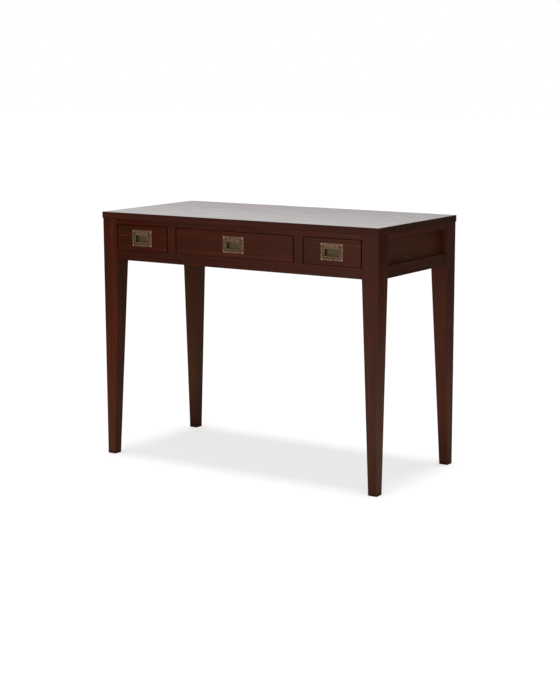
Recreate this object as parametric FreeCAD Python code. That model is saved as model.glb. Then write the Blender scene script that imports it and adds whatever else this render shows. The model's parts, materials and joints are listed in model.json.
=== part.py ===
import FreeCAD, Part
import math
import os

# Campaign desk: a writing desk on four tapered legs, with a row of three drawers
# under the top and a flush brass pull in each drawer.
# Millimetres. X runs along the width, the front faces -Y, Z is up.
# The origin is on the floor, under the middle of the top.

# Overall size
desk_width = 997.0
desk_depth = 473.0
desk_height = 776.0
top_thickness = 20.0
top_overhang = 1.5
top_edge_round = 2.0

# Legs: square down to the apron's lower edge, then tapered on the two inner faces
leg_width = 55.0
foot_width = 30.0
foot_bevel = 1.5
leg_ease = 1.2

# Front and sides, from the top down
top_rail_height = 16.0
drawer_opening_height = 80.0
bottom_rail_height = 32.0
rail_depth = 50.0
divider_width = 30.0
centre_opening_width = 428.0
rail_round = 0.8

# Framed sides and plain back
side_rail_thickness = 30.0
side_set_back = 2.0
panel_thickness = 8.0
panel_recess = 20.0
panel_groove = 6.0
panel_play = 0.5
back_thickness = 20.0
back_set_back = 2.0

# Joints of the frame
tenon_thickness = 10.0
tenon_length = 25.0
tenon_shoulder = 5.0
twin_tenon_inset = 6.0
slot_tenon_height = 8.0
slot_tenon_length = 20.0
rail_dovetail_length = 18.0
rail_dovetail_neck = 26.0
rail_dovetail_flare = 4.0
haunch_length = 8.0
stub_length = 8.0
stub_width = 12.0

# Drawer supports
runner_thickness = 20.0
runner_lap = 18.0
guide_height = 16.0
guide_clearance = 1.0
stop_width = 30.0
stop_depth = 12.0
stop_height = 4.0
glue_block_width = 60.0
glue_block_depth = 16.0

# Drawers
drawer_side_gap = 3.0
drawer_top_gap = 1.5
drawer_bottom_gap = 1.0
drawer_length = 425.0
drawer_front_thickness = 20.0
drawer_front_round = 1.0
drawer_side_thickness = 12.0
drawer_side_height = 76.0
drawer_back_thickness = 10.0
drawer_back_drop = 6.0
drawer_bottom_thickness = 6.0
drawer_bottom_lift = 7.0
drawer_groove = 5.0
front_lap = 5.0
tail_width = 18.0
tail_edge = 4.0
tail_slope = math.tan(math.radians(8.0))

# Flush pulls
pull_width = 75.0
pull_height = 50.5
pull_corner = 2.0
pull_proud = 0.8
flange_thickness = 2.4
pull_wall = 1.4
pull_edge_bevel = 0.7
pocket_half_width = 29.8
pocket_bottom = -19.6
pocket_top = 18.0
pocket_depth = 4.1
web_half_width = 23.6
well_half_width = 24.0
well_top = 9.0
well_bottom = -12.0
well_undercut = 5.5
well_depth = 11.5
bail_half_width = 29.0
bail_arm = 5.0
bail_bottom = -18.8
bail_bar = 6.8
bail_thickness = 4.0
bail_pivot_height = 11.5
bail_corner = 3.0
bail_bevel = 0.8
hinge_pin_radius = 1.0
hinge_clearance = 0.05
hinge_pin_hold = 1.2

# Planes worked out from the sizes above
half_x = desk_width / 2 - top_overhang
half_y = desk_depth / 2 - top_overhang
leg_x = half_x - leg_width
leg_y = half_y - leg_width
rail_top = desk_height - top_thickness
opening_top = rail_top - top_rail_height
opening_bottom = opening_top - drawer_opening_height
apron_bottom = opening_bottom - bottom_rail_height
front_y = -half_y
rail_back_y = front_y + rail_depth
back_outer_y = half_y - back_set_back
back_inner_y = back_outer_y - back_thickness
divider_inner = centre_opening_width / 2
divider_outer = divider_inner + divider_width
divider_middle = (divider_inner + divider_outer) / 2
side_outer_x = half_x - side_set_back
side_inner_x = side_outer_x - side_rail_thickness
panel_outer_x = half_x - panel_recess
panel_inner_x = panel_outer_x - panel_thickness
runner_top = opening_bottom
runner_bottom = runner_top - runner_thickness
side_runner_x = leg_x - drawer_side_gap - runner_lap
middle_runner_x = (divider_inner - runner_lap, divider_outer + runner_lap)
pull_face_y = front_y - pull_proud
pull_z = (opening_top + opening_bottom) / 2
bail_pivot_y = pull_face_y + bail_thickness / 2
drawer_openings = {
    "left": (-leg_x, -divider_outer),
    "centre": (-divider_inner, divider_inner),
    "right": (divider_outer, leg_x),
}

across = FreeCAD.Vector(1, 0, 0)
inward = FreeCAD.Vector(0, 1, 0)
upward = FreeCAD.Vector(0, 0, 1)


def block(x, y, z):
    # A rectangular block between two values on each axis
    corner = FreeCAD.Vector(min(x), min(y), min(z))
    return Part.makeBox(abs(x[1] - x[0]), abs(y[1] - y[0]), abs(z[1] - z[0]), corner)


def joined(shapes):
    # One solid from touching or overlapping ones
    return shapes[0].multiFuse(shapes[1:]).removeSplitter()


def without(shape, tools):
    # The shape with the tools' material taken out
    return shape.cut(Part.makeCompound(tools)).removeSplitter()


def mirror_x(shape):
    return shape.mirror(FreeCAD.Vector(0, 0, 0), across)


def mirror_y(shape):
    return shape.mirror(FreeCAD.Vector(0, 0, 0), inward)


def both_ends(shape):
    return [shape, mirror_x(shape)]


def prism(points, direction):
    # A flat outline pushed along a direction
    vectors = [FreeCAD.Vector(*point) for point in points]
    return Part.Face(Part.makePolygon(vectors + vectors[:1])).extrude(direction)


def rod(radius, start, direction, length):
    return Part.makeCylinder(radius, length, FreeCAD.Vector(*start), direction)


def eased_outline(x, y, z, ease):
    # A level rectangle with its corners cut off, for a post with eased edges
    (x0, x1), (y0, y1) = x, y
    corners = [
        (x0 + ease, y0),
        (x1 - ease, y0),
        (x1, y0 + ease),
        (x1, y1 - ease),
        (x1 - ease, y1),
        (x0 + ease, y1),
        (x0, y1 - ease),
        (x0, y0 + ease),
    ]
    return [FreeCAD.Vector(px, py, z) for px, py in corners]


def post_between(outlines):
    # A solid of flat faces from one outline up to the next, all with the same number of corners
    walls = []
    for low, high in zip(outlines, outlines[1:]):
        for index in range(len(low)):
            ring = [low[index - 1], low[index], high[index], high[index - 1], low[index - 1]]
            walls.append(Part.Face(Part.makePolygon(ring)))
    ends = [Part.Face(Part.makePolygon(points + points[:1])) for points in (outlines[0], outlines[-1])]
    return Part.makeSolid(Part.makeShell(walls + ends))


def rounded_slab(x, y, z, radius):
    # A block whose corners are rounded as seen from the front
    slab = block(x, y, z)
    corners = edges_where(slab, lambda c: near(c.y, (y[0] + y[1]) / 2))
    return slab.makeFillet(radius, corners)


def edges_where(shape, test):
    return [edge for edge in shape.Edges if test(edge.CenterOfMass)]


def near(value, target):
    return abs(value - target) < 0.01


# ---------- joints shared by the pieces that meet ----------

def top_rail_dovetail():
    # The right-hand end of the front top rail, dropped into the leg from above
    middle = front_y + rail_depth / 2
    neck = rail_dovetail_neck / 2
    end = neck + rail_dovetail_flare
    tip = leg_x + rail_dovetail_length
    outline = [
        (leg_x, middle - neck, opening_top),
        (tip, middle - end, opening_top),
        (tip, middle + end, opening_top),
        (leg_x, middle + neck, opening_top),
    ]
    return prism(outline, upward * top_rail_height)


def bottom_rail_tenons():
    # Twin tenons at the right-hand end of the front bottom rail
    x = (leg_x, leg_x + tenon_length)
    z = (apron_bottom + tenon_shoulder, opening_bottom - tenon_shoulder)
    first = front_y + twin_tenon_inset
    last = rail_back_y - twin_tenon_inset - tenon_thickness
    return [block(x, (y, y + tenon_thickness), z) for y in (first, last)]


def side_bottom_rail_tenon():
    # Front tenon of the right side's bottom rail, below the panel groove
    middle = (side_inner_x + side_outer_x) / 2
    x = (middle - tenon_thickness / 2, middle + tenon_thickness / 2)
    z = (apron_bottom + tenon_shoulder, opening_bottom - tenon_thickness)
    return block(x, (-leg_y - tenon_length, -leg_y), z)


def side_top_rail_tenon():
    # Front tenon of the right side's top rail, open at the leg's top, above the panel groove
    x = (side_outer_x - tenon_shoulder - tenon_thickness, side_outer_x - tenon_shoulder)
    return block(x, (-leg_y - slot_tenon_length, -leg_y), (rail_top - slot_tenon_height, rail_top))


def back_tenon():
    # Right-hand tenon of the back apron, with a short haunch up to the leg's top
    middle = (back_inner_y + back_outer_y) / 2
    y = (middle - tenon_thickness / 2, middle + tenon_thickness / 2)
    low = apron_bottom + tenon_thickness
    high = opening_top
    tongue = block((leg_x, leg_x + tenon_length), y, (low, high))
    haunch = block((leg_x, leg_x + haunch_length), y, (high, rail_top))
    return joined([tongue, haunch])


def divider_tenon(z):
    # Stub tenon of the right-hand divider
    x = (divider_middle - tenon_thickness / 2, divider_middle + tenon_thickness / 2)
    return block(x, (front_y + stub_length, rail_back_y - stub_length), z)


def divider_tenons():
    low = divider_tenon((opening_bottom - stub_length, opening_bottom))
    high = divider_tenon((opening_top, opening_top + stub_length))
    return [low, high]


def stub_tenons(first_x, bottom, top):
    # A runner or kicker ends in a stub tenon at the front rail and at the back apron
    x = (first_x, first_x + stub_width)
    z = (bottom + tenon_shoulder, top - tenon_shoulder)
    front = block(x, (rail_back_y - stub_length, rail_back_y), z)
    back = block(x, (back_inner_y, back_inner_y + stub_length), z)
    return [front, back]


def side_support_tenons(bottom, top):
    return stub_tenons(side_runner_x + tenon_shoulder, bottom, top)


def middle_support_tenons(bottom, top):
    low_x, high_x = middle_runner_x
    inner = stub_tenons(low_x + tenon_shoulder / 2, bottom, top)
    outer = stub_tenons(high_x - tenon_shoulder / 2 - stub_width, bottom, top)
    return inner + outer


def support_mortises(bottom, top):
    right = side_support_tenons(bottom, top) + middle_support_tenons(bottom, top)
    return right + [mirror_x(tenon) for tenon in right]


def panel_slot():
    # The groove that runs round the side frame's inner edges
    x = (panel_inner_x, panel_outer_x)
    y = leg_y + panel_groove
    return block(x, (-y, y), (opening_bottom - panel_groove, opening_top + panel_groove))


# ---------- frame ----------

def top_panel():
    x = (-desk_width / 2, desk_width / 2)
    y = (-desk_depth / 2, desk_depth / 2)
    board = block(x, y, (rail_top, desk_height))
    upper = edges_where(board, lambda c: near(c.z, desk_height))
    return board.makeFillet(top_edge_round, upper)


def leg_blank():
    # The front right leg, before its joints are cut
    foot_x = half_x - foot_width
    foot_y = front_y + foot_width
    sole_x = (foot_x + foot_bevel, half_x - foot_bevel)
    sole_y = (front_y + foot_bevel, foot_y - foot_bevel)
    head = ((leg_x, half_x), (front_y, -leg_y))
    sections = [
        eased_outline(sole_x, sole_y, 0, leg_ease),
        eased_outline((foot_x, half_x), (front_y, foot_y), foot_bevel, leg_ease),
        eased_outline(*head, apron_bottom, leg_ease),
        eased_outline(*head, rail_top, leg_ease),
    ]
    return post_between(sections).removeSplitter()


def side_joints():
    return [side_bottom_rail_tenon(), side_top_rail_tenon(), panel_slot()]


def front_right_leg():
    return without(leg_blank(), side_joints() + bottom_rail_tenons() + [top_rail_dovetail()])


def back_right_leg():
    joints = [mirror_y(joint) for joint in side_joints()]
    return without(mirror_y(leg_blank()), joints + [back_tenon()])


def front_top_rail():
    rail = block((-leg_x, leg_x), (front_y, rail_back_y), (opening_top, rail_top))
    lower = edges_where(rail, lambda c: near(c.y, front_y) and near(c.z, opening_top))
    rail = rail.makeFillet(rail_round, lower)
    rail = joined([rail] + both_ends(top_rail_dovetail()))
    dividers = [divider_tenons()[1], mirror_x(divider_tenons()[1])]
    return without(rail, dividers + support_mortises(opening_top, rail_top))


def front_bottom_rail():
    rail = block((-leg_x, leg_x), (front_y, rail_back_y), (apron_bottom, opening_bottom))
    face = edges_where(rail, lambda c: near(c.y, front_y) and near(c.x, 0))
    rail = rail.makeFillet(rail_round, face)
    tenons = bottom_rail_tenons()
    rail = joined([rail] + tenons + [mirror_x(tenon) for tenon in tenons])
    dividers = [divider_tenons()[0], mirror_x(divider_tenons()[0])]
    return without(rail, dividers + support_mortises(runner_bottom, runner_top))


def right_divider():
    post = block((divider_inner, divider_outer), (front_y, rail_back_y), (opening_bottom, opening_top))
    face = edges_where(post, lambda c: near(c.y, front_y) and near(c.z, pull_z))
    return joined([post.makeFillet(rail_round, face)] + divider_tenons())


def right_side_rail(bottom, top, tenon):
    rail = block((side_inner_x, side_outer_x), (-leg_y, leg_y), (bottom, top))
    face = edges_where(rail, lambda c: near(c.x, side_outer_x) and near(c.y, 0))
    rail = rail.makeFillet(rail_round, face)
    rail = joined([rail, tenon, mirror_y(tenon)])
    return without(rail, [panel_slot()])


def right_side_panel():
    reach = panel_groove - panel_play
    y = leg_y + reach
    z = (opening_bottom - reach, opening_top + reach)
    return block((panel_inner_x, panel_outer_x), (-y, y), z)


def back_apron():
    board = block((-leg_x, leg_x), (back_inner_y, back_outer_y), (apron_bottom, rail_top))
    lower = edges_where(board, lambda c: near(c.y, back_outer_y) and near(c.z, apron_bottom))
    board = joined([board.makeFillet(rail_round, lower)] + both_ends(back_tenon()))
    supports = support_mortises(runner_bottom, runner_top) + support_mortises(opening_top, rail_top)
    return without(board, supports)


# ---------- drawer supports ----------

def right_side_support(bottom, top):
    # A strip under or over a drawer's outer side, widened to the side rail between the legs
    z = (bottom, top)
    strip = block((side_runner_x, leg_x), (rail_back_y, back_inner_y), z)
    wide = block((leg_x, side_inner_x), (-leg_y, leg_y), z)
    return joined([strip, wide] + side_support_tenons(bottom, top))


def right_middle_support(bottom, top):
    # A strip under or over the sides of two neighbouring drawers
    strip = block(middle_runner_x, (rail_back_y, back_inner_y), (bottom, top))
    return joined([strip] + middle_support_tenons(bottom, top))


def guide_z():
    return (runner_top, runner_top + guide_height)


def right_side_guide():
    inner = leg_x - drawer_side_gap + guide_clearance
    return block((inner, side_inner_x), (-leg_y, leg_y), guide_z())


def right_middle_guide():
    reach = drawer_side_gap - guide_clearance
    x = (divider_inner - reach, divider_outer + reach)
    return block(x, (rail_back_y, back_inner_y), guide_z())


def drawer_stops():
    # Two blocks behind each drawer front, on the bottom rail
    y = front_y + drawer_front_thickness
    stops = []
    for x0, x1 in drawer_openings.values():
        quarter = (x1 - x0) / 4
        for middle in (x0 + quarter, x1 - quarter):
            x = (middle - stop_width / 2, middle + stop_width / 2)
            stops.append(block(x, (y, y + stop_depth), (runner_top, runner_top + stop_height)))
    return Part.makeCompound(stops)


def top_glue_blocks():
    # Rubbed in under the top, behind the front rail and before the back apron
    depths = (
        (rail_back_y, rail_back_y + glue_block_depth),
        (back_inner_y - glue_block_depth, back_inner_y),
    )
    blocks = []
    for name in drawer_openings:
        middle = pull_x(name)
        x = (middle - glue_block_width / 2, middle + glue_block_width / 2)
        blocks += [block(x, y, (opening_top, rail_top)) for y in depths]
    return Part.makeCompound(blocks)


# ---------- drawers ----------

def pull_x(name):
    return sum(drawer_openings[name]) / 2


def drawer_x(name):
    x0, x1 = drawer_openings[name]
    return (x0 + drawer_side_gap, x1 - drawer_side_gap)


def tails(x, y_neck, y_tip, z, count):
    # Dovetail tails across a board's end, evenly spread over its height
    pitch = (z[1] - z[0] - 2 * tail_edge - tail_width) / (count - 1)
    wide = tail_width / 2
    narrow = wide - abs(y_tip - y_neck) * tail_slope
    shapes = []
    for index in range(count):
        middle = z[0] + tail_edge + wide + pitch * index
        outline = [
            (x[0], y_neck, middle - narrow),
            (x[0], y_tip, middle - wide),
            (x[0], y_tip, middle + wide),
            (x[0], y_neck, middle + narrow),
        ]
        shapes.append(prism(outline, across * (x[1] - x[0])))
    return shapes


def side_x_spans(name):
    x0, x1 = drawer_x(name)
    return ((x0, x0 + drawer_side_thickness), (x1 - drawer_side_thickness, x1))


def front_tails(x):
    neck = front_y + drawer_front_thickness
    tip = front_y + front_lap
    return tails(x, neck, tip, (runner_top, runner_top + drawer_side_height), 3)


def back_z():
    low = runner_top + drawer_bottom_lift + drawer_bottom_thickness
    return (low, runner_top + drawer_side_height - drawer_back_drop)


def drawer_bottom(name):
    reach = drawer_side_thickness - drawer_groove
    x0, x1 = drawer_x(name)
    y = (front_y + drawer_front_thickness - drawer_groove, front_y + drawer_length)
    low = runner_top + drawer_bottom_lift
    return block((x0 + reach, x1 - reach), y, (low, low + drawer_bottom_thickness))


def drawer_back(name):
    outer = front_y + drawer_length
    inner = outer - drawer_back_thickness
    board = block(drawer_x(name), (inner, outer), back_z())
    sockets = []
    for x in side_x_spans(name):
        sockets += tails(x, inner, outer, back_z(), 2)
    return without(board, sockets)


def drawer_side(x, back, bottom):
    y = (front_y + drawer_front_thickness, front_y + drawer_length)
    z = (runner_top, runner_top + drawer_side_height)
    board = block(x, y, z)
    upper = edges_where(board, lambda c: near(c.z, z[1]) and near(c.y, (y[0] + y[1]) / 2))
    board = board.makeFillet(drawer_front_round, upper)
    return without(joined([board] + front_tails(x)), [back, bottom])


def drawer_front(name, bottom, pull_tools):
    z = (opening_bottom + drawer_bottom_gap, opening_top - drawer_top_gap)
    board = block(drawer_x(name), (front_y, front_y + drawer_front_thickness), z)
    face = edges_where(board, lambda c: near(c.y, front_y))
    board = board.makeFillet(drawer_front_round, face)
    sockets = []
    for x in side_x_spans(name):
        sockets += front_tails(x)
    return without(board, sockets + [bottom] + pull_tools)


# ---------- flush pulls, built round x = 0 and z = 0 of the plate's middle ----------

def pull_flange():
    x = (-pull_width / 2, pull_width / 2)
    z = (-pull_height / 2, pull_height / 2)
    y = (pull_face_y, pull_face_y + flange_thickness)
    return rounded_slab(x, y, z, pull_corner)


def pull_case():
    # The casting behind the flange: a tray round the pocket, and a pan round the well
    tray_x = pocket_half_width + pull_wall
    tray_y = (pull_face_y + flange_thickness, pull_face_y + pocket_depth + pull_wall)
    tray_z = -pocket_bottom + pull_wall
    tray = block((-tray_x, tray_x), tray_y, (-tray_z, tray_z))
    pan_x = well_half_width + pull_wall
    pan_y = (tray_y[1], pull_face_y + well_depth + pull_wall)
    pan_z = (well_bottom - well_undercut - pull_wall, well_top + pull_wall)
    pan = block((-pan_x, pan_x), pan_y, pan_z)
    return joined([tray, pan])


def bail_pocket():
    # The shallow seat that the bail folds into, round a fixed web between its arms
    y = (pull_face_y, pull_face_y + pocket_depth)
    whole = block((-pocket_half_width, pocket_half_width), y, (pocket_bottom, pocket_top))
    web = block((-web_half_width, web_half_width), y, (well_top, pocket_top))
    return without(whole, [web])


def finger_well():
    # The well behind the bail, undercut below so that a fingertip hooks behind the bar
    x = (-well_half_width, well_half_width)
    y = (pull_face_y + pocket_depth, pull_face_y + well_depth)
    return block(x, y, (well_bottom - well_undercut, well_top))


def hinge_pins():
    x = web_half_width - hinge_pin_hold
    length = pocket_half_width + hinge_pin_hold - x
    pin = rod(hinge_pin_radius, (x, bail_pivot_y, bail_pivot_height), across, length)
    return both_ends(pin)


def pull_plate():
    flange = pull_flange()
    rim = edges_where(flange, lambda c: near(c.y, pull_face_y))
    casting = joined([flange.makeChamfer(pull_edge_bevel, rim), pull_case()])
    return without(casting, [bail_pocket(), finger_well()] + hinge_pins())


def bail():
    # A U-shaped flat bar whose arm ends are round about the hinge pins
    y = (pull_face_y, pull_face_y + bail_thickness)
    loop = block((-bail_half_width, bail_half_width), y, (bail_bottom, bail_pivot_height))
    inner_x = bail_half_width - bail_arm
    gap = block((-inner_x, inner_x), y, (bail_bottom + bail_bar, bail_pivot_height))
    loop = loop.cut(gap)
    outer_corners = edges_where(loop, lambda c: near(abs(c.x), bail_half_width) and near(c.z, bail_bottom))
    loop = loop.makeFillet(bail_corner, [edge for edge in outer_corners if near(edge.Length, bail_thickness)])
    start = (inner_x, bail_pivot_y, bail_pivot_height)
    knuckle = rod(bail_thickness / 2, start, across, bail_arm)
    loop = joined([loop] + both_ends(knuckle))
    bar_front = edges_where(loop, lambda c: near(c.y, pull_face_y) and c.z < bail_bottom + bail_bar + 0.1)
    loop = loop.makeChamfer(bail_bevel, bar_front)
    bore_radius = hinge_pin_radius + hinge_clearance
    bore = rod(bore_radius, (-desk_width / 2, bail_pivot_y, bail_pivot_height), across, desk_width)
    return without(loop, [bore])


def at_pull(shape, name):
    placed = shape.copy()
    placed.translate(FreeCAD.Vector(pull_x(name), 0, pull_z))
    return placed


# ---------- all pieces, by name ----------

def frame_parts():
    pairs = {
        "front_{}_leg": front_right_leg(),
        "back_{}_leg": back_right_leg(),
        "{}_divider": right_divider(),
        "{}_side_top_rail": right_side_rail(opening_top, rail_top, side_top_rail_tenon()),
        "{}_side_bottom_rail": right_side_rail(apron_bottom, opening_bottom, side_bottom_rail_tenon()),
        "{}_side_panel": right_side_panel(),
        "{}_side_runner": right_side_support(runner_bottom, runner_top),
        "{}_middle_runner": right_middle_support(runner_bottom, runner_top),
        "{}_side_guide": right_side_guide(),
        "{}_middle_guide": right_middle_guide(),
        "{}_side_kicker": right_side_support(opening_top, rail_top),
        "{}_middle_kicker": right_middle_support(opening_top, rail_top),
    }
    parts = {
        "top_panel": top_panel(),
        "front_top_rail": front_top_rail(),
        "front_bottom_rail": front_bottom_rail(),
        "back_apron": back_apron(),
        "drawer_stops": drawer_stops(),
        "top_glue_blocks": top_glue_blocks(),
    }
    for pattern, shape in pairs.items():
        parts[pattern.format("right")] = shape
        parts[pattern.format("left")] = mirror_x(shape)
    return parts


def drawer_parts(name):
    bottom = drawer_bottom(name)
    back = drawer_back(name)
    left_x, right_x = side_x_spans(name)
    pull_tools = [at_pull(tool, name) for tool in (pull_flange(), pull_case())]
    return {
        name + "_drawer_front": drawer_front(name, bottom, pull_tools),
        name + "_drawer_left_side": drawer_side(left_x, back, bottom),
        name + "_drawer_right_side": drawer_side(right_x, back, bottom),
        name + "_drawer_back": back,
        name + "_drawer_bottom": bottom,
        name + "_pull_plate": at_pull(pull_plate(), name),
        name + "_pull_bail": at_pull(bail(), name),
        name + "_pull_hinge_pins": at_pull(Part.makeCompound(hinge_pins()), name),
    }


os.makedirs("parts", exist_ok=True)
desk = frame_parts()
for drawer_name in drawer_openings:
    desk.update(drawer_parts(drawer_name))
for node, shape in desk.items():
    shape.exportStep("parts/" + node + ".step")
    print(node, len(shape.Solids), "solid(s),", round(shape.Volume / 1000, 1), "cm3, valid", shape.isValid())
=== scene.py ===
import json
import math
import random

import bmesh
import bpy
from mathutils import Matrix, Vector
from mathutils.bvhtree import BVHTree


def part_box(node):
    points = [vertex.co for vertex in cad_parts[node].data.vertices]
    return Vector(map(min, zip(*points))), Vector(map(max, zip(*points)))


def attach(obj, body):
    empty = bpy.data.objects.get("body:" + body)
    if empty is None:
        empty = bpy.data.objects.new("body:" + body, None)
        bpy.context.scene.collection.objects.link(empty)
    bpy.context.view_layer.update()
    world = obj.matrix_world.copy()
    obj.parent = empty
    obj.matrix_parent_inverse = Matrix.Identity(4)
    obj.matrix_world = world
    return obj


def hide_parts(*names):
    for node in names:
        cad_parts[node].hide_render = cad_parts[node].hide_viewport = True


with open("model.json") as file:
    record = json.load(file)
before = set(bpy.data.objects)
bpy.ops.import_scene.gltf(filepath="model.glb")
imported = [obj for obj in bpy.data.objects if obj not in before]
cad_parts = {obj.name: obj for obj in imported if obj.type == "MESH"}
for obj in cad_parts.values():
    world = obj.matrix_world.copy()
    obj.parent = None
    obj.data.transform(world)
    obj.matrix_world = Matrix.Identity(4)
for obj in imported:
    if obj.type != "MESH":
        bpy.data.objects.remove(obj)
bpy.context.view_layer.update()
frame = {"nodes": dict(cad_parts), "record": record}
nodes = frame["nodes"]
scene = bpy.context.scene
record = frame["record"]
bodyOf = {node: body for body, members in record["behaviour"]["bodies"].items() for node in members}
slotOf = {part["node"]: part["material_slot"] for part in record["subparts"]}
mm = 0.001
tiny = 1e-6
print("frame loaded,", len(nodes), "nodes")


def addObject(name, data):
    made = bpy.data.objects.new(name, data)
    scene.collection.objects.link(made)
    return made


# camera
cameraView = {
    "place": (2.70401, -4.09169, 1.23066),
    "heading": -33.3545,  # degrees from +Y, negative towards -X
    "dip": 10.2102,  # degrees below the horizon
    "roll": -0.1871,
    "lens": 81.868,
    "sensor": 36,  # mm, on the long side
}


def placeCamera(view):
    heading, dip, roll = (math.radians(view[key]) for key in ("heading", "dip", "roll"))
    level = math.cos(dip)
    forward = Vector((math.sin(heading) * level, math.cos(heading) * level, -math.sin(dip)))
    side = Vector((math.cos(heading), -math.sin(heading), 0))
    up = side.cross(forward)
    rolledSide = side * math.cos(roll) + up * math.sin(roll)
    rolledUp = up * math.cos(roll) - side * math.sin(roll)
    data = bpy.data.cameras.new("deskCamera")
    data.lens = view["lens"]
    data.sensor_width = view["sensor"]
    camera = addObject("deskCamera", data)
    turn = Matrix((rolledSide, rolledUp, -forward)).transposed()
    camera.matrix_world = Matrix.Translation(view["place"]) @ turn.to_4x4()
    scene.camera = camera


placeCamera(cameraView)
scene.view_settings.view_transform = "Standard"
print("camera placed")


# shader helpers
edgeSamples = 6
arrisTurn = (0.995, 0.8)  # where wear on an edge starts, and where it is full: 1 is flat


def addNode(tree, kind, sockets=None, **settings):
    made = tree.nodes.new(kind)
    for key, value in settings.items():
        setattr(made, key, value)
    for key, value in (sockets or {}).items():
        if isinstance(value, bpy.types.NodeSocket):
            tree.links.new(value, made.inputs[key])
        else:
            made.inputs[key].default_value = value
    return made


def calculate(tree, operation, first, second=0.0, third=0.0):
    sockets = {0: first, 1: second, 2: third}
    return addNode(tree, "ShaderNodeMath", sockets, operation=operation).outputs[0]


def remap(tree, value, span, low, high):
    # low at the span's start, high at its end
    sockets = {0: value, 1: span[0], 2: span[1], 3: low, 4: high}
    return addNode(tree, "ShaderNodeMapRange", sockets).outputs[0]


def shiftBy(tree, place, step):
    return addNode(tree, "ShaderNodeVectorMath", {0: place, 1: step}, operation="ADD").outputs[0]


def blendColours(tree, share, first, second):
    return addNode(tree, "ShaderNodeMix", {0: share, 6: first, 7: second}, data_type="RGBA").outputs[2]


def paint(*channels):
    # red, green and blue as seen on screen, 0 to 255, turned into the linear colour that a shader takes
    linear = []
    for value in (channel / 255 for channel in channels):
        linear.append(value / 12.92 if value < 0.04045 else ((value + 0.055) / 1.055) ** 2.4)
    return linear + [1.0]


def ramp(tree, value, stops):
    made = addNode(tree, "ShaderNodeValToRGB", {0: value})
    steps = made.color_ramp.elements
    while len(steps) < len(stops):
        steps.new(0.5)
    for step, (place, colour) in zip(steps, stops):
        step.position = place
        step.color = paint(*colour)
    return made.outputs[0]


def axes(tree, vector):
    return addNode(tree, "ShaderNodeSeparateXYZ", {0: vector}).outputs


def mapped(tree, vector, **settings):
    return addNode(tree, "ShaderNodeMapping", {"Vector": vector, **settings}).outputs[0]


def noise(tree, vector, scale, detail, roughness=0.5, distortion=0.0):
    sockets = {"Vector": vector, "Scale": scale, "Detail": detail, "Roughness": roughness}
    return addNode(tree, "ShaderNodeTexNoise", {**sockets, "Distortion": distortion}).outputs["Fac"]


def openness(tree, reach):
    # 1 in the open, falling towards 0 in gaps and corners
    shade = addNode(tree, "ShaderNodeAmbientOcclusion", {"Distance": reach}, samples=edgeSamples)
    return shade.outputs["AO"]


def wornEdge(tree, reach):
    # 1 on an arris, falling to 0 on the flats
    rounded = addNode(tree, "ShaderNodeBevel", {"Radius": reach}, samples=edgeSamples).outputs[0]
    flat = addNode(tree, "ShaderNodeNewGeometry").outputs["True Normal"]
    facing = addNode(tree, "ShaderNodeVectorMath", {0: rounded, 1: flat}, operation="DOT_PRODUCT")
    return remap(tree, facing.outputs["Value"], arrisTurn, 0.0, 1.0)


def relief(tree, height, strength, depth):
    sockets = {"Strength": strength, "Distance": depth, "Height": height}
    return addNode(tree, "ShaderNodeBump", sockets).outputs[0]


def finishWith(tree, sockets):
    shader = addNode(tree, "ShaderNodeBsdfPrincipled", sockets)
    addNode(tree, "ShaderNodeOutputMaterial", {"Surface": shader.outputs[0]})


def emptyMaterial(name):
    material = bpy.data.materials.new(name)
    material.use_nodes = True
    material.node_tree.nodes.clear()
    return material, material.node_tree


# floor, lamps and backdrop
studio = {
    "white": (1, 1, 1, 1),
    "ambient": 0.5,
    "sunStrength": 1.7,
    "sunWidth": 12.0,  # degrees
    "floorTone": 0.8,
    "shownTone": 0.42,  # how much of the lamps' light the camera sees on the floor
    "shownGlow": 0.607,
    "floorSize": 60.0,
}
lamps = (
    {"name": "keyLamp", "place": (-0.1, -4.2, 1.05), "aim": (0, 0, 0.6), "size": 1.8, "power": 66},
    {"name": "fillLamp", "place": (3.6, -2.0, 0.9), "aim": (0, 0, 0.5), "size": 2.0, "power": 24},
)


def shownRays(tree):
    # 1 for the camera's own rays, and for those and the ones that gloss and glass send on
    rays = addNode(tree, "ShaderNodeLightPath").outputs
    sharp = calculate(tree, "MAXIMUM", rays["Is Glossy Ray"], rays["Is Transmission Ray"])
    return rays["Is Camera Ray"], calculate(tree, "MAXIMUM", rays["Is Camera Ray"], sharp)


def makeBackdrop(look):
    world = bpy.data.worlds.new("studioBackdrop")
    scene.world = world
    world.use_nodes = True
    tree = world.node_tree
    tree.nodes.clear()
    shown = shownRays(tree)[1]
    light = addNode(tree, "ShaderNodeBackground", {"Color": look["white"], "Strength": look["ambient"]})
    white = addNode(tree, "ShaderNodeBackground", {"Color": look["white"], "Strength": 1.0})
    mixed = addNode(tree, "ShaderNodeMixShader", {0: shown, 1: light.outputs[0], 2: white.outputs[0]})
    addNode(tree, "ShaderNodeOutputWorld", {"Surface": mixed.outputs[0]})


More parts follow.
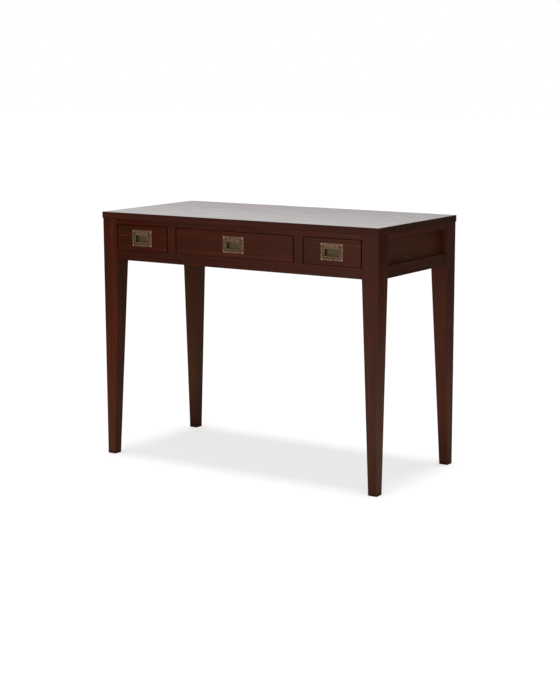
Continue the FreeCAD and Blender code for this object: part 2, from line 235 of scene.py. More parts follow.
def makeFloor(look):
    half = look["floorSize"] / 2
    mesh = bpy.data.meshes.new("studioFloor")
    corners = [(-half, -half, 0), (half, -half, 0), (half, half, 0), (-half, half, 0)]
    mesh.from_pydata(corners, [], [(0, 1, 2, 3)])
    floor = addObject("studioFloor", mesh)
    material, tree = emptyMaterial("paleFloor")
    plain = addNode(tree, "ShaderNodeBsdfDiffuse", {"Color": (look["floorTone"],) * 3 + (1,)})
    soft = addNode(tree, "ShaderNodeBsdfDiffuse", {"Color": (look["shownTone"],) * 3 + (1,)})
    glow = addNode(tree, "ShaderNodeEmission", {"Color": look["white"], "Strength": look["shownGlow"]})
    both = addNode(tree, "ShaderNodeAddShader", {0: soft.outputs[0], 1: glow.outputs[0]})
    shown = shownRays(tree)[0]
    mixed = addNode(tree, "ShaderNodeMixShader", {0: shown, 1: plain.outputs[0], 2: both.outputs[0]})
    addNode(tree, "ShaderNodeOutputMaterial", {"Surface": mixed.outputs[0]})
    mesh.materials.append(material)


def makeLamps(look):
    data = bpy.data.lights.new("topSun", "SUN")
    data.energy = look["sunStrength"]
    data.angle = math.radians(look["sunWidth"])
    addObject("topSun", data)
    for lamp in lamps:
        data = bpy.data.lights.new(lamp["name"], "AREA")
        data.shape = "SQUARE"
        data.size = lamp["size"]
        data.energy = lamp["power"]
        lit = addObject(lamp["name"], data)
        lit.location = lamp["place"]
        aim = Vector(lamp["aim"]) - Vector(lamp["place"])
        lit.rotation_euler = aim.to_track_quat("-Z", "Y").to_euler()
        lit.visible_camera = False


makeBackdrop(studio)
makeFloor(studio)
makeLamps(studio)
print("floor, lamps and backdrop made")


# wood finishes
mahogany = {
    "slot": "mahogany",
    "tones": ((0.0, (28, 6, 2)), (0.35, (46, 14, 4)), (0.65, (58, 19, 7)), (1.0, (80, 31, 21))),
    "brownCast": (50, 28, 13),  # the stain drifts between these two along a board
    "redCast": (68, 16, 7),
    "castShare": 0.3,
    "faded": (72, 49, 42),  # painted sheen: a greyer veil on the front faces, growing towards the right-hand end
    "fadedShare": 0.38,
    "endGrain": (30, 16, 11),
    "endShare": 0.5,
    "pore": (26, 9, 6),
    "poreShare": 0.6,
    "rubbed": (88, 46, 34),  # where an arris has lost its polish
    "rubbedShare": 0.14,
    "rubbedLeast": 0.1,
    "arris": 0.0014,  # how far from an edge the wear reaches
    "wax": (22, 9, 7),  # old polish and painted shade, dark in gaps and corners
    "waxShare": 0.7,
    "waxReach": 0.0024,
    "dust": (128, 98, 78),  # painted light, a pale tone on the ledges of the side recesses
    "dustShare": 0.28,
    "slitShare": 0.85,  # painted shade on the walls of the gaps beside the drawers
    "ringGap": 0.011,  # metres between rings
    "ringWander": 6.0,
    "roughness": (0.34, 0.5),
    "specular": 0.012,
    "bump": 0.25,
}
burnishedTop = dict(
    mahogany,
    planks=4,
    roughness=(0.215, 0.285),
    frontPolish=0.085,  # how much smoother arms have rubbed the front
    specular=0.4,
    bump=0.05,
)
topEdges = dict(
    mahogany,
    faded=(46, 30, 27),
    fadedShare=0.58,
    endGrain=(32, 14, 4),
    endShare=0.75,
    shadedCorner=0.65,  # painted shade at the back of the right-hand end
)
legMahogany = dict(
    mahogany,
    scuffed=(88, 63, 49),
    scuffedHeight=0.58,
    scuffedFull=0.02,
    scuffedShare=0.2,
    outerShare=0.4,  # more of it on the outer side
    shaded=(46, 40, 33),  # painted shade on the inner faces
    shadedShare=0.25,
    footDarkHeight=0.17,  # how far up a foot is darkened
    footBand=0.014,
    footShare=0.5,
    floorLine=0.002,
)
legLooks = {
    "front_right_leg": dict(legMahogany, scuffedHeight=0.68, outerShare=0.58),
    "back_right_leg": dict(
        legMahogany, faded=(80, 47, 38), fadedShare=0.55, scuffedShare=0.08, outerShare=0.45
    ),
}
footDarkShares = {"front_left_leg": 0.05, "front_right_leg": 0.28, "back_left_leg": 0.62, "back_right_leg": 0.45}
drawerTimber = {
    "slot": "drawer_timber",
    "tones": ((0.0, (132, 92, 58)), (0.4, (158, 118, 80)), (0.7, (174, 135, 95)), (1.0, (192, 156, 114))),
    "brownCast": (146, 110, 76),
    "redCast": (176, 128, 86),
    "castShare": 0.25,
    "faded": (176, 150, 118),
    "fadedShare": 0.1,
    "endGrain": (116, 80, 52),
    "endShare": 0.4,
    "pore": (104, 70, 44),
    "poreShare": 0.35,
    "rubbed": (196, 164, 124),
    "rubbedShare": 0.25,
    "rubbedLeast": 0.1,
    "arris": 0.0012,
    "wax": (84, 58, 38),
    "waxShare": 0.5,
    "waxReach": 0.006,
    "ringGap": 0.007,
    "ringWander": 4.0,
    "roughness": (0.5, 0.65),
    "specular": 0.25,
    "bump": 0.3,
}
carcaseTimber = {
    "slot": "carcase_timber",
    "tones": ((0.0, (106, 74, 48)), (0.4, (130, 95, 64)), (0.7, (146, 110, 76)), (1.0, (166, 132, 94))),
    "brownCast": (120, 92, 66),
    "redCast": (146, 104, 70),
    "castShare": 0.25,
    "faded": (140, 118, 92),
    "fadedShare": 0.1,
    "endGrain": (94, 66, 42),
    "endShare": 0.4,
    "pore": (84, 56, 34),
    "poreShare": 0.3,
    "rubbed": (172, 140, 102),
    "rubbedShare": 0.2,
    "rubbedLeast": 0.1,
    "arris": 0.0012,
    "wax": (66, 46, 30),
    "waxShare": 0.5,
    "waxReach": 0.006,
    "ringGap": 0.006,
    "ringWander": 4.0,
    "roughness": (0.6, 0.75),
    "specular": 0.2,
    "bump": 0.35,
}
# boards that took the stain redder, browner or paler, with its share at their low and their high end
stains = {
    "top_panel": ((50, 29, 24), 0.0, 0.5),
    "top_edges": ((57, 34, 28), 0.42, 0.2),
    "front_top_rail": ((40, 22, 15), 0.0, 0.2),
    "front_left_leg": ((92, 47, 33), 0.28, 0.06),
    "front_right_leg": ((42, 11, 2), 0.05, 0.85),
    "front_bottom_rail": ((34, 17, 10), 0.45, 0.55),
    "left_drawer_front": ((44, 16, 7), 0.25, 0.55),
    "centre_drawer_front": ((58, 19, 8), 0.5, 0.15),
    "right_drawer_front": ((32, 16, 9), 0.75, 0.0),
    "left_divider": ((64, 30, 20), 0.3, 0.3),
    "right_side_panel": ((56, 29, 13), 0.65, 0.65),
    "right_side_top_rail": ((52, 27, 12), 0.4, 0.4),
    "right_side_bottom_rail": ((32, 16, 4), 0.6, 0.55),
    "back_left_leg": ((72, 48, 35), 0.45, 0.4),
    "back_right_leg": ((40, 18, 9), 0.2, 0.45),
}
# place along and up the board, half length, half height, how dark the knot's rings and its eye are
knots = {
    "right_side_panel": (
        (-0.09, 0.671, 0.034, 0.011, 0.6, 0.0),
        (-0.012, 0.6605, 0.014, 0.006, 0.3, 0.9),
    ),
    "left_side_panel": ((0.06, 0.716, 0.03, 0.010, 0.4, 0.6),),
    "back_apron": ((-0.21, 0.69, 0.04, 0.012, 0.4, 0.5),),
}
knotShape = {  # distances are in the knot's own half length and half height
    "spread": (2.4, 0.0),
    "pull": -0.7,  # how hard it bends the grain beside it
    "ringTurns": 11.0,
    "ringSpan": (-0.2, 0.8),
    "ringEdge": (1.4, 0.7),
    "eye": (0.6, 0.3),
}
grainTurns = ((0, 0, 0), (0, 0, -math.pi / 2), (0, math.pi / 2, 0))  # for a grain along X, Y or Z
grainNoises = {  # repeats in a metre along and across the grain, detail, roughness and distortion
    "bands": ((1.0, 34.0, 34.0), 2.0, 0.55, 0.3),
    "streaks": ((7.0, 170.0, 170.0), 3.0, 0.6, 0.2),
    "fibre": ((24.0, 900.0, 900.0), 2.0, 0.6, 0.0),
    "pores": ((90.0, 2600.0, 2600.0), 1.0, 0.5, 0.0),
    "mottle": ((16.0, 24.0, 24.0), 2.0, 0.5, 0.0),
    "drift": ((5.0, 9.0, 9.0), 1.0, 0.5, 0.0),
}
yearRings = {
    "stretch": (0.2, 1.0, 1.0),
    "perGap": 0.314,
    "detail": 3.0,
    "detailScale": 0.5,
    "detailRoughness": 0.6,
}
figureShares = {"rings": 0.1, "bands": 0.38, "streaks": 0.36, "fibre": 0.1, "mottle": 0.06}
glossShares = {"fibre": 0.3, "streaks": 0.4, "mottle": 0.3}
reliefShares = {"fibre": 0.35, "streaks": 0.25, "pits": -1.0}
reliefDepth = 0.0003
spans = {  # where each effect starts, and where it is full
    "figure": (0.4, 0.6),
    "drift": (0.4, 0.6),
    "pore": (0.6, 0.72),
    "streak": (0.35, 0.65),
    "gap": (0.62, 0.3),
    "frontFace": (-0.5, -1.0),  # how squarely a face looks that way
    "outerFace": (0.0, 1.0),
    "innerFace": (0.0, -1.0),
    "upperFace": (0.6, 0.95),
    "sideFace": (0.3, 0.85),
    "rightFace": (0.5, 0.9),
    "cutFace": (0.7, 0.95),
    "sheenEnd": (-0.45, 0.45),  # places on the desk, in metres
    "betweenLegs": (0.4446, 0.4442),
    "aboveRail": (0.658, 0.662),
    "backCorner": (0.12, 0.22),
    "armRest": (0.2, -0.24),
    "planks": (-0.2364, 0.2364),
}


def measure(tree, value, kind, share=1.0):
    # 0 at the start of that kind's span, the share at its end
    return remap(tree, value, spans[kind], 0.0, share)


def plankOf(tree, across, count):
    # a number of its own for each plank of the glued-up top
    plank = calculate(tree, "FLOOR", measure(tree, across, "planks", count))
    return addNode(tree, "ShaderNodeTexWhiteNoise", {"W": plank}, noise_dimensions="1D").outputs["Color"]


def knotRings(tree, places, place, grain, knot):
    # the grain spreads round the knot: the new place of each point, and how dark the knot is there
    middle, level, halfLength, halfHeight, ringShare, eyeShare = knot
    run = calculate(tree, "SUBTRACT", places[grain], middle)
    rise = calculate(tree, "SUBTRACT", places[2], level)
    sides = [calculate(tree, "DIVIDE", run, halfLength), calculate(tree, "DIVIDE", rise, halfHeight)]
    squares = [calculate(tree, "MULTIPLY", side, side) for side in sides]
    reach = calculate(tree, "SQRT", calculate(tree, "ADD", *squares))
    pull = remap(tree, reach, knotShape["spread"], 0.0, knotShape["pull"])
    lift = calculate(tree, "MULTIPLY", rise, pull)
    lifted = addNode(tree, "ShaderNodeCombineXYZ", {2: lift}).outputs[0]
    wave = calculate(tree, "SINE", calculate(tree, "MULTIPLY", reach, knotShape["ringTurns"]))
    rings = remap(tree, wave, knotShape["ringSpan"], 0.0, ringShare)
    rings = calculate(tree, "MULTIPLY", rings, remap(tree, reach, knotShape["ringEdge"], 0.0, 1.0))
    eye = remap(tree, reach, knotShape["eye"], 0.0, eyeShare)
    return shiftBy(tree, place, lifted), calculate(tree, "MAXIMUM", rings, eye)


def grainLayers(tree, look, place, grain, shift):
    # noises and year rings, all drawn out along the grain
    moved = mapped(tree, mapped(tree, place, Rotation=grainTurns[grain]), Location=shift)
    layers = {}
    for kind, (stretch, detail, roughness, distortion) in grainNoises.items():
        layers[kind] = noise(tree, mapped(tree, moved, Scale=stretch), 1.0, detail, roughness, distortion)
    sockets = {
        "Vector": mapped(tree, moved, Scale=yearRings["stretch"]),
        "Scale": yearRings["perGap"] / look["ringGap"],
        "Distortion": look["ringWander"],
        "Detail": yearRings["detail"],
        "Detail Scale": yearRings["detailScale"],
        "Detail Roughness": yearRings["detailRoughness"],
    }
    kinds = {"wave_type": "RINGS", "rings_direction": "X", "wave_profile": "SAW"}
    layers["rings"] = addNode(tree, "ShaderNodeTexWave", sockets, **kinds).outputs["Fac"]
    layers["pits"] = measure(tree, layers["pores"], "pore", look["poreShare"])
    return layers


def weighed(tree, layers, shares):
    total = 0.0
    for kind, share in shares.items():
        total = calculate(tree, "MULTIPLY_ADD", layers[kind], share, total)
    return total


def legWearAndShade(tree, node, look, places, facing):
    # scuffs low down and most on the outer side, painted shade on the inner side, and darker towards the
    # foot
    outward = calculate(tree, "MULTIPLY", facing[0], calculate(tree, "SIGN", places[0]))
    least = look["scuffedShare"]
    outer = remap(tree, outward, spans["outerFace"], least, least + look["outerShare"])
    lower = remap(tree, places[2], (look["scuffedHeight"], look["scuffedFull"]), 0.0, 1.0)
    wearAndShade = [(calculate(tree, "MULTIPLY", outer, lower), "scuffed")]
    # painted shade on the inner faces
    wearAndShade.append((measure(tree, outward, "innerFace", look["shadedShare"]), "shaded"))
    # darker towards the foot, most on the back legs
    for height, share in ((look["footDarkHeight"], footDarkShares[node]), (look["footBand"], look["footShare"])):
        wearAndShade.append((remap(tree, places[2], (height, look["floorLine"]), 0.0, share), "wax"))
    return wearAndShade


def boardFinish(name, node, look, grain, shift, stain):
    material, tree = emptyMaterial(name)
    place = addNode(tree, "ShaderNodeTexCoord").outputs["Object"]
    places = axes(tree, place)
    facing = axes(tree, addNode(tree, "ShaderNodeNewGeometry").outputs["True Normal"])
    marks = []
    for knot in knots.get(node, ()):
        place, mark = knotRings(tree, places, place, grain, knot)
        marks.append((mark, "pore"))
    if "planks" in look:
        place = shiftBy(tree, place, plankOf(tree, places[1], look["planks"]))
    layers = grainLayers(tree, look, place, grain, shift)

    # the wood itself, then its stain
    wood = ramp(tree, measure(tree, weighed(tree, layers, figureShares), "figure"), look["tones"])
    drift = measure(tree, layers["drift"], "drift")
    cast = blendColours(tree, drift, paint(*look["brownCast"]), paint(*look["redCast"]))
    wood = blendColours(tree, look["castShare"], wood, cast)
    tone, lowShare, highShare = stain
    ends = [corner[grain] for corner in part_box(node)]
    wood = blendColours(tree, remap(tree, places[grain], ends, lowShare, highShare), wood, paint(*tone))

    # what age and use have laid over it, with painted light and shade, from the lowest coat to the highest
    # painted sheen on the front faces, growing towards the right-hand end
    sheenReach = measure(tree, places[0], "sheenEnd", look["fadedShare"])
    coats = [(calculate(tree, "MULTIPLY", measure(tree, facing[1], "frontFace"), sheenReach), "faded")]
    cut = calculate(tree, "ABSOLUTE", facing[grain])
    coats.append((measure(tree, cut, "cutFace", look["endShare"]), "endGrain"))
    if "scuffed" in look:
        coats += legWearAndShade(tree, node, look, places, facing)
    coats += marks
    coats.append((layers["pits"], "pore"))
    # painted light on the upward ledges of the side bottom rails
    if node.endswith("_side_bottom_rail"):
        coats.append((measure(tree, facing[2], "upperFace", look["dustShare"]), "dust"))
    patchy = remap(tree, layers["streaks"], spans["streak"], look["rubbedLeast"], look["rubbedShare"])
    coats.append((calculate(tree, "MULTIPLY", wornEdge(tree, look["arris"]), patchy), "rubbed"))
    # painted shade, with old polish, darkening gaps and corners
    coats.append((measure(tree, openness(tree, look["waxReach"]), "gap", look["waxShare"]), "wax"))
    if "slitShare" in look:
        # painted shade on the walls of the gaps beside the drawers
        between = measure(tree, calculate(tree, "ABSOLUTE", places[0]), "betweenLegs")
        beside = calculate(tree, "MULTIPLY", between, measure(tree, places[2], "aboveRail"))
        sideways = measure(tree, calculate(tree, "ABSOLUTE", facing[0]), "sideFace", look["slitShare"])
        coats.append((calculate(tree, "MULTIPLY", sideways, beside), "wax"))
    if "shadedCorner" in look:
        # painted shade at the back of the right-hand end of the top
        corner = measure(tree, places[1], "backCorner", look["shadedCorner"])
        coats.append((calculate(tree, "MULTIPLY", corner, measure(tree, facing[0], "rightFace")), "wax"))
    for share, colour in coats:
        wood = blendColours(tree, share, wood, paint(*look[colour]))

    smooth, rough = look["roughness"]
    roughness = remap(tree, weighed(tree, layers, glossShares), spans["streak"], rough, smooth)
    if "frontPolish" in look:
        polish = measure(tree, places[1], "armRest", look["frontPolish"])
        roughness = calculate(tree, "SUBTRACT", roughness, polish)
    bump = relief(tree, weighed(tree, layers, reliefShares), look["bump"], reliefDepth)
    sockets = {"Base Color": wood, "Roughness": roughness, "Specular IOR Level": look["specular"]}
    finishWith(tree, {**sockets, "Normal": bump})
    return material


def dress(piece, material):
    piece.data.materials.clear()
    piece.data.materials.append(material)


# boards whose free arrises are eased by hand; joints stay crisp
easing = {  # metres
    "_drawer_front": 0.0013,
    "_leg": 0.0010,
    "_divider": 0.0007,
    "_rail": 0.0008,
    "back_apron": 0.0008,
    "_drawer_left_side": 0.0006,
    "_drawer_right_side": 0.0006,
    "_drawer_back": 0.0006,
}
easingRules = {
    "weld": 0.0004,
    "flattest": math.radians(0.5),
    "shortest": 0.004,
    "sharpest": math.radians(40),
    "touching": 0.0004,  # nearer than this to another board, an edge is part of a joint
    "probes": (0.2, 0.5, 0.8),
    "steps": 3,
}


def pieceFrom(name, shape):
    mesh = bpy.data.meshes.new(name)
    shape.to_mesh(mesh)
    shape.free()
    return addObject(name, mesh)


def edgesAt(shape, axis, level):
    # the edges that lie wholly at that level
    return [edge for edge in shape.edges if all(abs(vert.co[axis] - level) < tiny for vert in edge.verts)]


def roundEdges(shape, edges, width, steps):
    made = bmesh.ops.bevel(shape, geom=edges, offset=width, segments=steps, profile=0.5, affect="EDGES")
    return made["faces"]


def surfaceOf(node):
    mesh = nodes[node].data
    places = [vert.co for vert in mesh.vertices]
    return BVHTree.FromPolygons(places, [face.vertices for face in mesh.polygons])


def isFree(edge, neighbours):
    if edge.calc_length() < easingRules["shortest"] or edge.calc_face_angle(0) < easingRules["sharpest"]:
        return False
    first, second = (vert.co for vert in edge.verts)
    spots = [first.lerp(second, share) for share in easingRules["probes"]]
    near = easingRules["touching"]
    return all(surface.find_nearest(spot, near)[0] is None for surface in neighbours for spot in spots)


def easeBoard(node, width, neighbours):
    shape = bmesh.new()
    shape.from_mesh(nodes[node].data)
    bmesh.ops.remove_doubles(shape, verts=shape.verts, dist=easingRules["weld"])
    flattest = easingRules["flattest"]
    bmesh.ops.dissolve_limit(shape, angle_limit=flattest, verts=shape.verts, edges=shape.edges)
    free = [edge for edge in shape.edges if isFree(edge, neighbours)]
    eased = roundEdges(shape, free, width, easingRules["steps"])
    for face in shape.faces:
        face.smooth = False
    for face in eased:
        face.smooth = True
    board = pieceFrom(node + "_eased", shape)
    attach(board, bodyOf[node])
    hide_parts(node)
    return board


def grainOf(node):
    # the grain runs along a board's longest side
    low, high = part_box(node)
    size = high - low
    return max(range(3), key=lambda axis: size[axis])


# no two boards come from the same place in the tree, or took the stain alike
grainShifts = {"along": 3, "sideways": (0.05, 0.12), "upward": 0.9}
plainStain = 0.25  # a board without a stain of its own takes up to this share of its third tone
woodLooks = {look["slot"]: look for look in (mahogany, drawerTimber, carcaseTimber)}
surfaces = {node: surfaceOf(node) for node in nodes}
chance = random.Random(11)
for node in sorted(nodes):
    if slotOf[node] not in woodLooks:
        continue
    look = woodLooks[slotOf[node]]
    shift = [chance.uniform(-grainShifts["along"], grainShifts["along"])]
    shift.append(chance.choice((-1, 1)) * chance.uniform(*grainShifts["sideways"]))
    shift.append(chance.uniform(-grainShifts["upward"], grainShifts["upward"]))
    plain = chance.uniform(0.0, plainStain)
    stain = stains.get(node, (look["tones"][2][1], plain, plain))
    if node.endswith("_leg"):
        look = legLooks.get(node, legMahogany)
    board = nodes[node]
    for ending, width in easing.items():
        if node.endswith(ending):
            board = easeBoard(node, width, [surfaces[other] for other in surfaces if other != node])
    dress(board, boardFinish(node + "_wood", node, look, grainOf(node), shift, stain))
print("boards finished")


# top board: four planks glued side by side, burnished on its upper face only
topBoard = {
    "edgeRound": 0.002,
    "lowerRound": 0.0006,
    "cornerRound": 0.0012,
    "roundSteps": 3,
    "flatFace": 0.999,  # a normal leaning further than this belongs to an eased edge
    "upperFace": 0.9,
    "grainShift": (0.3, 0.07, 0.2),
    "finishes": (
        ("writing_top_edges", topEdges, "top_edges"),
        ("writing_top_face", burnishedTop, "top_panel"),
    ),
}


def makeTop(size):
    low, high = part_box("top_panel")
    shape = bmesh.new()
    bmesh.ops.create_cube(shape, size=1.0)
    for vert in shape.verts:
        vert.co = [low[axis] + (vert.co[axis] + 0.5) * (high[axis] - low[axis]) for axis in range(3)]
    for level, width in ((high.z, size["edgeRound"]), (low.z, size["lowerRound"])):
        roundEdges(shape, edgesAt(shape, 2, level), width, size["roundSteps"])
    heights = {edge: abs(edge.verts[0].co.z - edge.verts[1].co.z) for edge in shape.edges}
    corners = [edge for edge in shape.edges if heights[edge] > (high.z - low.z) / 2]
    roundEdges(shape, corners, size["cornerRound"], size["roundSteps"])
    for face in shape.faces:
        face.smooth = max(abs(part) for part in face.normal) < size["flatFace"]
        face.material_index = int(face.normal.z > size["upperFace"])
    board = pieceFrom("writing_top", shape)
    for name, look, stain in size["finishes"]:
        finish = boardFinish(name, "top_panel", look, 0, size["grainShift"], stains[stain])
        board.data.materials.append(finish)
    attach(board, "frame")
    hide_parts("top_panel")


makeTop(topBoard)
print("top made")


# flush pulls: plate, bail and screws, in millimetres round the middle of the plate's face
flushPull = {
    "faceY": -235.8,
    "middleZ": 700.0,
    "middleX": {"left": -343.0, "centre": 0.0, "right": 343.0},
    "plateSize": (75.0, 50.5),
    "plateThickness": 2.4,
    "plateCorner": 2.0,
    "rimRound": 0.8,
    "rimSteps": 3,
    "wall": 1.4,
    "lap": 0.3,  # how far the pans run into the plate
    "overcut": 1.0,  # how far a cutter stands out of what it cuts
    "pocket": (30.2, -20.0, 18.0),  # half width, bottom, top
    "pocketDepth": 4.1,
    "web": (23.6, 9.0),  # half width and lower edge of the web between the bail's arms
    "well": (24.0, -17.5, 8.0),  # the same, for the fingertip
    "wellDepth": 11.5,
    "castCorner": 1.2,
    "screwPlaces": (33.6, 22.0),
    "edgeSoftening": 0.22,
}
bailShape = {
    "halfWidth": 28.8,
    "arm": 4.8,
    "bottom": -18.7,
    "bar": 6.7,
    "thickness": 4.0,
    "pivotZ": 11.5,
    "knuckleTurns": (84, 68, 50, 33, 16, 0),  # degrees round the arm's rounded end
    "outerCorner": 3.0,
    "innerCorner": 1.4,
    "cornerSteps": 6,
    "edgeRound": 1.2,
    "thinnestRound": 0.45,  # of the thickness, where the arm thins out
    "roundSteps": 3,
    "sharpest": 40,  # degrees
}
plateScrew = {
    "radius": 1.95,
    "dome": 0.45,
    "domeTurns": (80, 60, 40, 20, 0),  # degrees from the flat round the rim to the crown
    "sink": 0.7,
    "taper": 0.45,
    "seatGap": 0.05,
    "holeGap": 0.15,
    "holeTaper": 0.5,
    "slotWidth": 0.55,
    "slotDepth": 0.35,
    "steps": 28,
    "edgeSoftening": 0.08,
}
softEdge = {"steps": 2, "sharpest": 35}  # degrees


def buildPiece(name, build):
    shape = bmesh.new()
    build(shape)
    bmesh.ops.recalc_face_normals(shape, faces=shape.faces)
    return pieceFrom(name, shape)


def settle(piece):
    # turns the piece's modifiers into plain mesh
    bpy.context.view_layer.update()
    shape = bpy.data.meshes.new_from_object(piece.evaluated_get(bpy.context.evaluated_depsgraph_get()))
    piece.modifiers.clear()
    piece.data = shape


def joinOrCut(piece, tools, operation):
    for tool in tools:
        step = piece.modifiers.new("step", "BOOLEAN")
        step.operation = operation
        step.solver = "EXACT"
        step.object = tool
    settle(piece)
    for tool in tools:
        bpy.data.objects.remove(tool)


def soften(piece, width):
    bevel = piece.modifiers.new("softEdges", "BEVEL")
    bevel.width = width
    bevel.segments = softEdge["steps"]
    bevel.limit_method = "ANGLE"
    bevel.angle_limit = math.radians(softEdge["sharpest"])
    bevel.harden_normals = True
    piece.data.shade_smooth()
    settle(piece)


def rectangle(halfWidth, bottom, top):
    return [(halfWidth, top), (-halfWidth, top), (-halfWidth, bottom), (halfWidth, bottom)]


def towards(start, end):
    length = math.dist(start, end)
    return [(there - here) / length for here, there in zip(start, end)]


def rounded(corners, radius, steps=5):
    # the outline with an arc in place of each of its square corners
    outline = []
    for before, corner, after in zip(corners[-1:] + corners[:-1], corners, corners[1:] + corners[:1]):
        back, onward = towards(corner, before), towards(corner, after)
        centre = [corner[axis] + (back[axis] + onward[axis]) * radius for axis in (0, 1)]
        for step in range(steps + 1):
            turn = math.radians(90 * step / steps)
            lean = [onward[axis] * math.cos(turn) + back[axis] * math.sin(turn) for axis in (0, 1)]
            outline.append([centre[axis] - lean[axis] * radius for axis in (0, 1)])
    return outline


def slab(name, outline, near, far, rimRound=0.0):
    # a flat piece of that outline, from near to far behind the plate's face
    def build(shape):
        front = shape.faces.new([shape.verts.new((x, near, z)) for x, z in outline])
        made = bmesh.ops.extrude_face_region(shape, geom=[front])["geom"]
        moved = [item for item in made if isinstance(item, bmesh.types.BMVert)]
        bmesh.ops.translate(shape, verts=moved, vec=(0, far - near, 0))
        if rimRound:
            roundEdges(shape, edgesAt(shape, 1, near), rimRound, flushPull["rimSteps"])

    return buildPiece(name, build)


def skin(shape, loops):
    # joins equal loops into a tube and closes both ends
    count = len(loops[0])
    for first, second in zip(loops, loops[1:]):
        for step in range(count):
            after = (step + 1) % count
            shape.faces.new((first[step], first[after], second[after], second[step]))
    shape.faces.new(loops[0])
    shape.faces.new(loops[-1])


def turned(name, rings, steps, middle):
    # a round piece whose rings are (radius, depth)
    turns = [2 * math.pi * step / steps for step in range(steps)]

    def build(shape):
        loops = []
        for radius, depth in rings:
            spots = [(radius * math.cos(turn), radius * math.sin(turn)) for turn in turns]
            loops.append([shape.verts.new((middle[0] + x, depth, middle[1] + z)) for x, z in spots])
        skin(shape, loops)

    return buildPiece(name, build)


def countersink(screw, overcut, middle):
    reach = screw["radius"] + screw["holeGap"]
    rings = ((reach + overcut, -overcut), (reach, 0.0), (reach - screw["holeTaper"], screw["sink"]))
    return turned("sink", rings, screw["steps"], middle)


def screwSpots(size):
    x, z = size["screwPlaces"]
    return [(side * x, level * z) for side in (-1, 1) for level in (-1, 1)]


def makePlate(size):
    halfWidth, halfHeight = (side / 2 for side in size["plateSize"])
    wall, corner, overcut = size["wall"], size["castCorner"], size["overcut"]
    pocketHalf, pocketLow, pocketHigh = size["pocket"]
    wellHalf, wellLow, wellHigh = size["well"]
    webHalf, webLow = size["web"]
    pocketDepth, wellDepth = size["pocketDepth"], size["wellDepth"]
    lap = size["plateThickness"] - size["lap"]
    outline = rounded(rectangle(halfWidth, -halfHeight, halfHeight), size["plateCorner"])
    plate = slab("plate", outline, 0.0, size["plateThickness"], size["rimRound"])
    tray = rounded(rectangle(pocketHalf + wall, pocketLow - wall, wall - pocketLow), corner)
    pan = rounded(rectangle(wellHalf + wall, wellLow - wall, wellHigh + wall), corner)
    backs = [slab("tray", tray, lap, pocketDepth + wall), slab("pan", pan, lap, wellDepth + wall)]
    joinOrCut(plate, backs, "UNION")
    right = [(webHalf, webLow), (webHalf, pocketHigh), (pocketHalf, pocketHigh), (pocketHalf, pocketLow)]
    left = [(-x, z) for x, z in reversed(right)]
    seat = rounded(right + left, corner)  # for the bail, a U round the web
    well = rounded(rectangle(wellHalf, wellLow, wellHigh), corner)
    cutters = [slab("seat", seat, -overcut, pocketDepth)]
    cutters.append(slab("well", well, pocketDepth - overcut, wellDepth))
    cutters += [countersink(plateScrew, overcut, spot) for spot in screwSpots(size)]
    joinOrCut(plate, cutters, "DIFFERENCE")
    return plate


def makeScrew(size, overcut, middle, lean):
    radius, dome = size["radius"], size["dome"]
    turns = [math.radians(turn) for turn in size["domeTurns"]]
    rings = [(radius * math.cos(turn), -dome * math.sin(turn)) for turn in turns]
    rings += [(radius - size["taper"], size["sink"] - size["seatGap"])]
    screw = turned("screw", rings, size["steps"], middle)
    half = size["slotWidth"] / 2
    outline = [(-radius, -half), (radius, -half), (radius, half), (-radius, half)]
    slot = slab("slot", outline, -dome - overcut, size["slotDepth"] - dome)
    slot.data.transform(Matrix.Translation((middle[0], 0, middle[1])) @ Matrix.Rotation(lean, 4, "Y"))
    joinOrCut(screw, [slot], "DIFFERENCE")
    return screw


def bailSections(size):
    # (inner point, outer point, thickness) along the left half of the U, from its knuckle to its middle
    inner, outer = size["halfWidth"] - size["arm"], size["halfWidth"]
    low, barTop = size["bottom"], size["bottom"] + size["bar"]
    half = size["thickness"] / 2
    sections = []
    for turn in (math.radians(turn) for turn in size["knuckleTurns"]):
        z = size["pivotZ"] + half * math.sin(turn)
        sections.append(((-inner, z), (-outer, z), 2 * half * math.cos(turn)))
    steps, innerRound, outerRound = size["cornerSteps"], size["innerCorner"], size["outerCorner"]
    for step in range(steps + 1):
        turn = math.radians(90 * step / steps)
        back, down = math.cos(turn), math.sin(turn)
        near = (-inner + innerRound * (1 - back), barTop + innerRound * (1 - down))
        far = (-outer + outerRound * (1 - back), low + outerRound * (1 - down))
        sections.append((near, far, 2 * half))
    return sections


def makeBail(size):
    left = bailSections(size)
    right = [((-near[0], near[1]), (-far[0], far[1]), thick) for near, far, thick in reversed(left)]
    depth = size["thickness"] / 2

    def build(shape):
        loops = []
        for near, far, thick in left + right:
            near, far = Vector(near), Vector(far)
            along = (far - near).normalized()
            half = (far - near).length / 2
            rounding = min(size["edgeRound"], thick * size["thinnestRound"])
            loop = []
            for x, y in rounded(rectangle(half, -thick / 2, thick / 2), rounding, size["roundSteps"]):
                spot = near + along * (half + x)
                loop.append(shape.verts.new((spot[0], depth + y, spot[1])))
            loops.append(loop)
        skin(shape, loops)

    bail = buildPiece("bail", build)
    bail.data.shade_smooth()
    bail.data.set_sharp_from_angle(angle=math.radians(size["sharpest"]))
    return bail


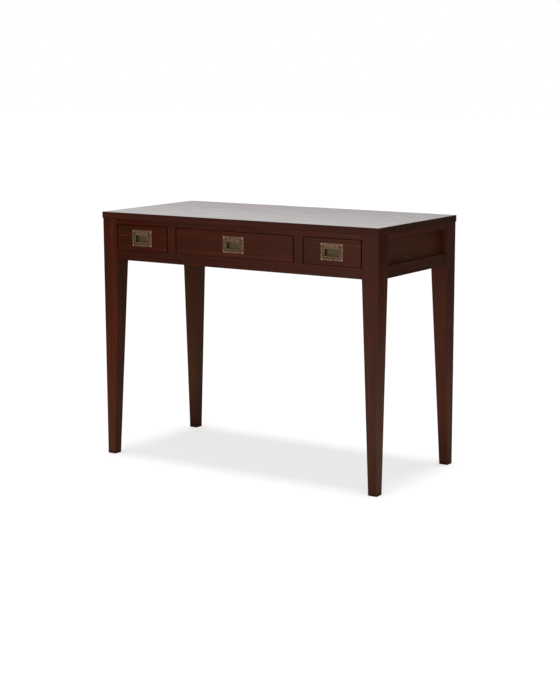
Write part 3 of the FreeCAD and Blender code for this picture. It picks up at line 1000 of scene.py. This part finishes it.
# brass
antiqueBrass = {
    "deep": (24, 18, 11),
    "dull": (65, 50, 36),
    "clean": (99, 77, 60),
    "sunk": (80, 69, 50),  # down in the pocket and the well
    "sunkShare": 0.7,
    "sunkDepth": (-0.2328, -0.2262),
    # worn brass on the arrises, partly a painted highlight where the rounded edges catch light
    "rubbed": (162, 131, 112),
    "scratchShare": 0.3,
    "grime": 0.75,  # dirt in the corners
    "grimeReach": 0.0035,
    "grimeSpan": (0.7, 0.3),
    "arris": 0.0012,
    "roughness": (0.46, 0.62),
    "sunkRoughness": 0.72,
    "blotches": (190.0, 5.0),  # scale and detail
    "grains": (1400.0, 2.0),
    "scratches": (1.0, 2.0),
    "scratchStretch": (90.0, 600.0, 2400.0),
    "tarnishSpan": (0.38, 0.66),
    "wearSpan": (0.3, 0.6),
    "wornLeast": 0.35,
    "scratchSpan": (0.62, 0.74),
    "roughSpan": (0.3, 0.7),
    "blotchRelief": 2.0,
    "bump": 0.35,
    "reliefDepth": 0.0002,
}


def brassFinish(name, look):
    material, tree = emptyMaterial(name)
    place = addNode(tree, "ShaderNodeTexCoord").outputs["Object"]
    blotches = noise(tree, place, *look["blotches"])
    grains = noise(tree, place, *look["grains"])
    scratches = noise(tree, mapped(tree, place, Scale=look["scratchStretch"]), *look["scratches"])
    tarnish = remap(tree, blotches, look["tarnishSpan"], 0.0, 1.0)
    sunken = remap(tree, axes(tree, place)[1], look["sunkDepth"], 0.0, look["sunkShare"])
    grime = remap(tree, openness(tree, look["grimeReach"]), look["grimeSpan"], 0.0, look["grime"])
    patchy = remap(tree, blotches, look["wearSpan"], 1.0, look["wornLeast"])
    # worn arrises, partly a painted highlight on the rounded edges
    wornAndHighlit = calculate(tree, "MULTIPLY", wornEdge(tree, look["arris"]), patchy)
    scratched = remap(tree, scratches, look["scratchSpan"], 0.0, look["scratchShare"])
    wornAndHighlit = calculate(tree, "MAXIMUM", wornAndHighlit, scratched)
    colour = paint(*look["clean"])
    for share, tone in ((tarnish, "dull"), (sunken, "sunk"), (grime, "deep"), (wornAndHighlit, "rubbed")):
        colour = blendColours(tree, share, colour, paint(*look[tone]))
    roughness = remap(tree, blotches, look["roughSpan"], *look["roughness"])
    mixed = {0: sunken, 2: roughness, 3: look["sunkRoughness"]}
    roughness = addNode(tree, "ShaderNodeMix", mixed).outputs[0]
    height = calculate(tree, "ADD", grains, calculate(tree, "MULTIPLY", blotches, look["blotchRelief"]))
    bump = relief(tree, height, look["bump"], look["reliefDepth"])
    finishWith(tree, {"Base Color": colour, "Metallic": 1.0, "Roughness": roughness, "Normal": bump})
    return material


plateBrass = brassFinish("agedBrass", antiqueBrass)
bailBrass = brassFinish("handledBrass", dict(antiqueBrass, dull=(60, 46, 34), clean=(90, 70, 54)))
screwTones = {"dull": (136, 112, 96), "clean": (174, 152, 136), "scratchShare": 0.6}
screwBrass = brassFinish("rubbedBrass", dict(antiqueBrass, **screwTones))


def placePull(piece, name, middle):
    piece.name = name
    piece.data.name = name
    spot = Vector((middle, flushPull["faceY"], flushPull["middleZ"])) * mm
    piece.data.transform(Matrix.Translation(spot) @ Matrix.Scale(mm, 4))


def makePull(drawer):
    middle = flushPull["middleX"][drawer]
    plate, bail = makePlate(flushPull), makeBail(bailShape)
    soften(plate, flushPull["edgeSoftening"])
    screws = []
    for spot in screwSpots(flushPull):
        screws.append(makeScrew(plateScrew, flushPull["overcut"], spot, chance.uniform(0, math.pi)))
    with bpy.context.temp_override(active_object=screws[0], selected_editable_objects=screws):
        bpy.ops.object.join()
    soften(screws[0], plateScrew["edgeSoftening"])
    placed = (
        (plate, "_plate_cast", "drawer_", "_pull_plate", plateBrass),
        (bail, "_bail_forged", "bail_", "_pull_bail", bailBrass),
        (screws[0], "_plate_screws", "drawer_", None, screwBrass),
    )
    for piece, ending, body, node, finish in placed:
        placePull(piece, drawer + ending, middle)
        dress(piece, finish)
        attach(piece, body + drawer)
        if node:
            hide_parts(drawer + node)


for drawer in flushPull["middleX"]:
    makePull(drawer)
    dress(nodes[drawer + "_pull_hinge_pins"], plateBrass)
print("pulls made")
